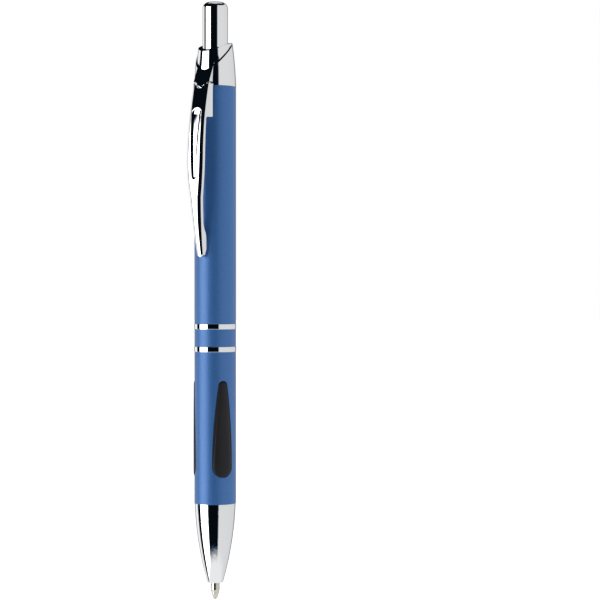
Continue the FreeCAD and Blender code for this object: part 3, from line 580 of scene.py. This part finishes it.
def clip_heights():
    """Stations up the clip, closer together at its foot, skirt and root."""
    foot = [FOOT_START + FOOT_HEIGHT * (i / FOOT_STATIONS) ** 2 for i in range(FOOT_STATIONS)]
    bow_length = SKIRT_HEIGHT - FOOT_HEIGHT - BOW_END_GAP
    bow = [FOOT_HEIGHT + bow_length * i / BOW_STATIONS for i in range(BOW_STATIONS)]
    skirt = [SKIRT_HEIGHT + step for step in SKIRT_STATIONS]
    root = [SKIRT_HEIGHT + ROOT_START + ROOT_PITCH * i for i in range(ROOT_STATIONS)]
    return foot + bow + skirt + root


def clip_head_ring(section, share, risen):
    """A ring of the clip's head, whose top edge dips for the tongue.

    share is how far up it is to the lip's bevel, and risen how far up that bevel.
    """
    head_foot = CLIP_LENGTH - CLIP_HEAD
    face = clip_face(head_foot)
    ring = []
    for x, y in section:
        edge = CLIP_LENGTH - tongue_dip(x) - LIP_BEVEL
        height = head_foot + (edge - head_foot) * share + LIP_BEVEL * risen
        inset = LIP_BEVEL * risen * LIP_BEVEL_LEAN
        forward = min(max((y - SKIRT_BACK) / (face - SKIRT_BACK), 0.0), 1.0)
        reach = y + forward * (clip_face(height) - face - inset)
        ring.append((x * (1 - 0.5 * inset / CLIP_HALF), reach, height))
    return ring


def pocket_clip():
    """Cast and plated clip: bevelled face, soft groove, top edge cut to the hood's lip."""
    rings = []
    for height in clip_heights():
        rings.append([(x, y, height) for x, y in clip_section(height)[0]])
    section, front_count, right_count = clip_section(CLIP_LENGTH - CLIP_HEAD)
    shares = [i / HEAD_STATIONS for i in range(HEAD_STATIONS)] + [HEAD_LAST]
    rings += [clip_head_ring(section, share, 0.0) for share in shares]
    rings += [clip_head_ring(section, 1.0, risen) for risen in LIP_STATIONS]
    floor_z = node_low("pocket_clip").z
    points = [(x * MM, -y * MM, floor_z + height * MM) for ring in rings for x, y, height in ring]
    count = len(section)
    faces = []
    for r in range(len(rings) - 1):
        for i in range(count):
            j = (i + 1) % count
            faces.append((r * count + i, r * count + j, (r + 1) * count + j, (r + 1) * count + i))
    faces.append(tuple(reversed(range(count))))
    last = (len(rings) - 1) * count
    back_start = front_count + right_count - 1
    back_end = back_start + POINTS_ACROSS
    for i in range(POINTS_ACROSS):
        behind = last + back_end - i
        faces.append((last + i, last + i + 1, behind - 1, behind))
    faces.append(tuple(last + i for i in range(front_count - 1, front_count + right_count)))
    faces.append(tuple([last + i for i in range(back_end, count)] + [last]))
    return new_piece("clip_cast", points, faces, "chrome_plate", "clip", "pocket_clip")


pocket_clip()


# The pads, in millimetres: a teardrop, wide at its foot, moulded with a soft crown.
PAD_FOOT_HALF = 2.35
PAD_HEAD_HALF = 1.01
PAD_SPAN = 18.95
PAD_CROWN_REACH = 1.3
PAD_EDGE_SHARE = 0.2
PAD_VOXEL = 0.11
PAD_RELAX_SHARE = 0.5
PAD_RELAX_ROUNDS = 6
WELD_GAP = 0.0005 * MM
BARREL_RADIUS = node_high("lower_barrel").x / MM


def relaxed_copy(node, name, slot, body):
    """A CAD node's shape with soft moulded edges: remeshed fine in millimetres, then relaxed."""
    mesh = NODES[node].data.copy()
    piece = bpy.data.objects.new(name, mesh)
    bpy.context.collection.objects.link(piece)
    work = bmesh.new()
    work.from_mesh(mesh)
    bmesh.ops.remove_doubles(work, verts=work.verts, dist=WELD_GAP)
    bmesh.ops.scale(work, vec=(1 / MM, 1 / MM, 1 / MM), verts=work.verts)
    work.to_mesh(mesh)
    work.free()
    remesh = piece.modifiers.new("remesh", "REMESH")
    remesh.mode = "VOXEL"
    remesh.voxel_size = PAD_VOXEL
    smooth = piece.modifiers.new("relax", "SMOOTH")
    smooth.factor = PAD_RELAX_SHARE
    smooth.iterations = PAD_RELAX_ROUNDS
    graph = bpy.context.evaluated_depsgraph_get()
    final = bpy.data.meshes.new_from_object(piece.evaluated_get(graph))
    piece.modifiers.clear()
    piece.data = final
    for vertex in final.vertices:
        vertex.co *= MM
    return settle_piece(piece, slot, body, node)


def grip_pad(node):
    """A soft pad: relaxed edges, and a face that rises from its edge to its middle."""
    pad = relaxed_copy(node, node.replace("grip_pad", "soft_pad"), "soft_grip", "front")
    middle = sum((v.co for v in pad.data.vertices), Vector()) / len(pad.data.vertices)
    centre_turn = math.atan2(middle.y, middle.x)
    foot_centre = node_low(node).z / MM + PAD_FOOT_HALF
    for vertex in pad.data.vertices:
        reach = math.hypot(vertex.co.x, vertex.co.y) / MM
        if reach <= BARREL_RADIUS:
            continue
        turn = math.atan2(vertex.co.y, vertex.co.x)
        across = reach * math.remainder(turn - centre_turn, 2 * math.pi)
        height = vertex.co.z / MM - foot_centre
        inset = teardrop_inset(across, height, PAD_FOOT_HALF, PAD_HEAD_HALF, PAD_SPAN)
        share = min(max(inset / PAD_CROWN_REACH, 0.0), 1.0)
        rise = PAD_EDGE_SHARE + (1 - PAD_EDGE_SHARE) * math.sqrt(1 - (1 - share) ** 2)
        crowned = BARREL_RADIUS + (reach - BARREL_RADIUS) * rise
        vertex.co.x *= crowned / reach
        vertex.co.y *= crowned / reach


for number in range(3):
    grip_pad("grip_pad_%d" % (number + 1))


# The return spring, in millimetres: radii of its wire and of its coil, to the wire's middle.
SPRING_WIRE = 0.2
SPRING_COIL = 1.4
SPRING_CLOSED_TURNS = 1.5
SPRING_OPEN_TURNS = 8.0
SPRING_STEPS = 40
SPRING_SIDES = 12


def return_spring():
    """Coil spring with closed ends."""
    low, high = node_low("return_spring").z / MM, node_high("return_spring").z / MM
    closed_rise = 2 * SPRING_WIRE * SPRING_CLOSED_TURNS
    open_rise = high - low - 2 * SPRING_WIRE - 2 * closed_rise
    turns = 2 * SPRING_CLOSED_TURNS + SPRING_OPEN_TURNS
    count = int(turns * SPRING_STEPS)
    points = []
    for i in range(count + 1):
        turn = turns * i / count
        lower = min(turn, SPRING_CLOSED_TURNS)
        upper = max(turn - SPRING_CLOSED_TURNS - SPRING_OPEN_TURNS, 0.0)
        rise = (lower + upper) * 2 * SPRING_WIRE
        rise += (turn - lower - upper) * open_rise / SPRING_OPEN_TURNS
        angle = 2 * math.pi * turn
        out = Vector((math.cos(angle), math.sin(angle), 0))
        centre = out * SPRING_COIL + Vector((0, 0, low + SPRING_WIRE + rise))
        for k in range(SPRING_SIDES):
            side = 2 * math.pi * k / SPRING_SIDES
            ring = out * math.cos(side) + Vector((0, 0, math.sin(side)))
            points.append(tuple((centre + ring * SPRING_WIRE) * MM))
    faces = []
    for i in range(count):
        for k in range(SPRING_SIDES):
            a, b = i * SPRING_SIDES + k, i * SPRING_SIDES + (k + 1) % SPRING_SIDES
            faces.append((a, a + SPRING_SIDES, b + SPRING_SIDES, b))
    faces.append(tuple(range(SPRING_SIDES)))
    faces.append(tuple(count * SPRING_SIDES + k for k in reversed(range(SPRING_SIDES))))
    spring = new_piece("return_coil", points, faces, "spring_steel", None, "return_spring")
    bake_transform(spring)


return_spring()


# ---- studio ---------------------------------------------------------------------------------


def sine(degrees):
    return math.sin(math.radians(degrees))


def view_axes():
    """The camera's direction from the pen, and its direction to the right."""
    back = Vector((math.sin(VIEW_TURN), -math.cos(VIEW_TURN), 0))
    right = Vector((math.cos(VIEW_TURN), math.sin(VIEW_TURN), 0))
    return back, right


def make_camera():
    """A long lens, level with the pen, whose middle is left of the view's."""
    back, right = view_axes()
    data = bpy.data.cameras.new("camera")
    data.lens = LENS
    data.sensor_width = SENSOR
    data.clip_start = NEAREST_SEEN
    data.clip_end = FARTHEST_SEEN
    camera = bpy.data.objects.new("camera", data)
    bpy.context.collection.objects.link(camera)
    camera.location = back * CAMERA_DISTANCE + right * CAMERA_SIDESTEP - Vector((0, 0, CAMERA_DROP))
    camera.rotation_euler = (-back).to_track_quat("-Z", "Y").to_euler()
    bpy.context.scene.camera = camera


class StudioTree:
    """The world's node tree, with short calls for the sums that place its lights."""

    def __init__(self, world):
        self.tree = world.node_tree
        self.tree.nodes.clear()
        self.place = self.add("ShaderNodeTexCoord").outputs["Generated"]

    def add(self, kind):
        return self.tree.nodes.new(kind)

    def join(self, source, target):
        self.tree.links.new(source, target)

    def part_along(self, direction):
        """How far the seen direction points along another, as a cosine."""
        node = self.add("ShaderNodeVectorMath")
        node.operation = "DOT_PRODUCT"
        node.inputs[1].default_value = direction
        self.join(self.place, node.inputs[0])
        return node.outputs["Value"]

    def sum_of(self, operation, *values):
        node = self.add("ShaderNodeMath")
        node.operation = operation
        for value, socket in zip(values, node.inputs):
            self.join(value, socket)
        return node.outputs["Value"]

    def map_range(self, value, start, end, low=0.0, high=1.0, smooth=False):
        """The value's range start..end mapped to low..high, and level beyond both ends."""
        node = self.add("ShaderNodeMapRange")
        node.interpolation_type = "SMOOTHSTEP" if smooth else "LINEAR"
        limits = {"From Min": start, "From Max": end, "To Min": low, "To Max": high}
        for key, number in limits.items():
            node.inputs[key].default_value = number
        self.join(value, node.inputs["Value"])
        return node.outputs["Result"]

    def mix_light(self, share, first, second):
        """First where share is 0, second where it is 1; each is a number or an output."""
        node = self.add("ShaderNodeMix")
        node.data_type = "FLOAT"
        for key, value in (("A", first), ("B", second)):
            if isinstance(value, float):
                node.inputs[key].default_value = value
            else:
                self.join(value, node.inputs[key])
        self.join(share, node.inputs["Factor"])
        return node.outputs["Result"]


def band_light(studio, turn):
    """The studio's panels and flags, by how far round from the camera they stand."""
    bands = studio.add("ShaderNodeValToRGB")
    studio.join(studio.map_range(turn, -math.pi, math.pi), bands.inputs["Fac"])
    stops = bands.color_ramp.elements
    while len(stops) < len(STUDIO_BANDS):
        stops.new(0.5)
    brightest = max(light for _, light in STUDIO_BANDS)
    for stop, (angle, light) in zip(stops, STUDIO_BANDS):
        stop.position = (angle + 180) / 360
        stop.color = (light / brightest,) * 3 + (1,)
    return studio.map_range(bands.outputs["Color"], 0.0, 1.0, 0.0, brightest)


def studio_light(studio, turn):
    """All of the studio's light: floor, panels, dark gap and ceiling, one over the other."""
    panels = band_light(studio, turn)
    height = studio.part_along((0, 0, 1))
    edge = sine(STUDIO_EDGE)
    panel_top = studio.map_range(turn, 0.0, PANEL_TOP_TURN,
                                 sine(PANEL_TOP_LEFT), sine(PANEL_TOP_RIGHT), smooth=True)
    above_panels = studio.sum_of("SUBTRACT", height, panel_top)
    over_panels = studio.map_range(above_panels, 0.0, edge, smooth=True)
    ceiling = studio.map_range(studio.sum_of("ABSOLUTE", turn), *CEILING_TURNS,
                               sine(CEILING_FOOT), sine(CEILING_FOOT_REAR), smooth=True)
    above_gap = studio.sum_of("SUBTRACT", height, ceiling)
    over_gap = studio.map_range(above_gap, 0.0, edge, smooth=True)
    upper = studio.mix_light(over_gap, DARK_GAP, CEILING_LIGHT)
    walls = studio.mix_light(over_panels, panels, upper)
    floor_end, walls_start = sine(FLOOR_SEEN - FLOOR_FADE), sine(FLOOR_SEEN)
    over_floor = studio.map_range(height, floor_end, walls_start, smooth=True)
    return studio.mix_light(over_floor, FLOOR_LIGHT, walls)


def make_studio():
    """White room for the camera; for the pen, white panels and dark flags standing round it."""
    world = bpy.data.worlds.new("studio")
    bpy.context.scene.world = world
    world.use_nodes = True
    studio = StudioTree(world)
    back, right = view_axes()
    turn = studio.sum_of("ARCTAN2", studio.part_along(right), studio.part_along(back))
    light = studio_light(studio, turn)
    around = studio.add("ShaderNodeBackground")
    studio.join(light, around.inputs["Strength"])
    tint = studio.add("ShaderNodeMix")
    tint.data_type = "RGBA"
    tint.inputs["A"].default_value = DARK_TINT
    tint.inputs["B"].default_value = (1, 1, 1, 1)
    studio.join(studio.map_range(light, 0.0, DARK_TINT_END), tint.inputs["Factor"])
    studio.join(tint.outputs["Result"], around.inputs["Color"])
    room = studio.add("ShaderNodeBackground")
    room.inputs["Color"].default_value = (1, 1, 1, 1)
    mix = studio.add("ShaderNodeMixShader")
    studio.join(studio.add("ShaderNodeLightPath").outputs["Is Camera Ray"], mix.inputs["Fac"])
    studio.join(around.outputs["Background"], mix.inputs[1])
    studio.join(room.outputs["Background"], mix.inputs[2])
    output = studio.add("ShaderNodeOutputWorld")
    studio.join(mix.outputs["Shader"], output.inputs["Surface"])
    world.cycles.sampling_method = "MANUAL"
    world.cycles.sample_map_resolution = 1024


def make_floor():
    """A plain pale floor under the point, low enough for the front half to unscrew."""
    mesh = bpy.data.meshes.new("floor")
    z = CAD_BOX[0].z - FLOOR_GAP
    sides = ((-1, -1), (1, -1), (1, 1), (-1, 1))
    corners = [(x * FLOOR_REACH, y * FLOOR_REACH, z) for x, y in sides]
    mesh.from_pydata(corners, [], [(0, 1, 2, 3)])
    floor = bpy.data.objects.new("floor", mesh)
    bpy.context.collection.objects.link(floor)
    s = Shader("floor_look")
    colour = s.blend_colours(s.noise(3.0, 2.0), (0.88, 0.88, 0.88), (0.91, 0.91, 0.91))
    s.join(colour, s.base.inputs["Base Color"])
    s.set(Roughness=0.9, Emission_Color=(1, 1, 1, 1), Emission_Strength=0.9)
    floor.data.materials.append(s.material)
    floor.visible_glossy = False


make_camera()
make_studio()
make_floor()
bpy.context.scene.view_settings.view_transform = "Standard"
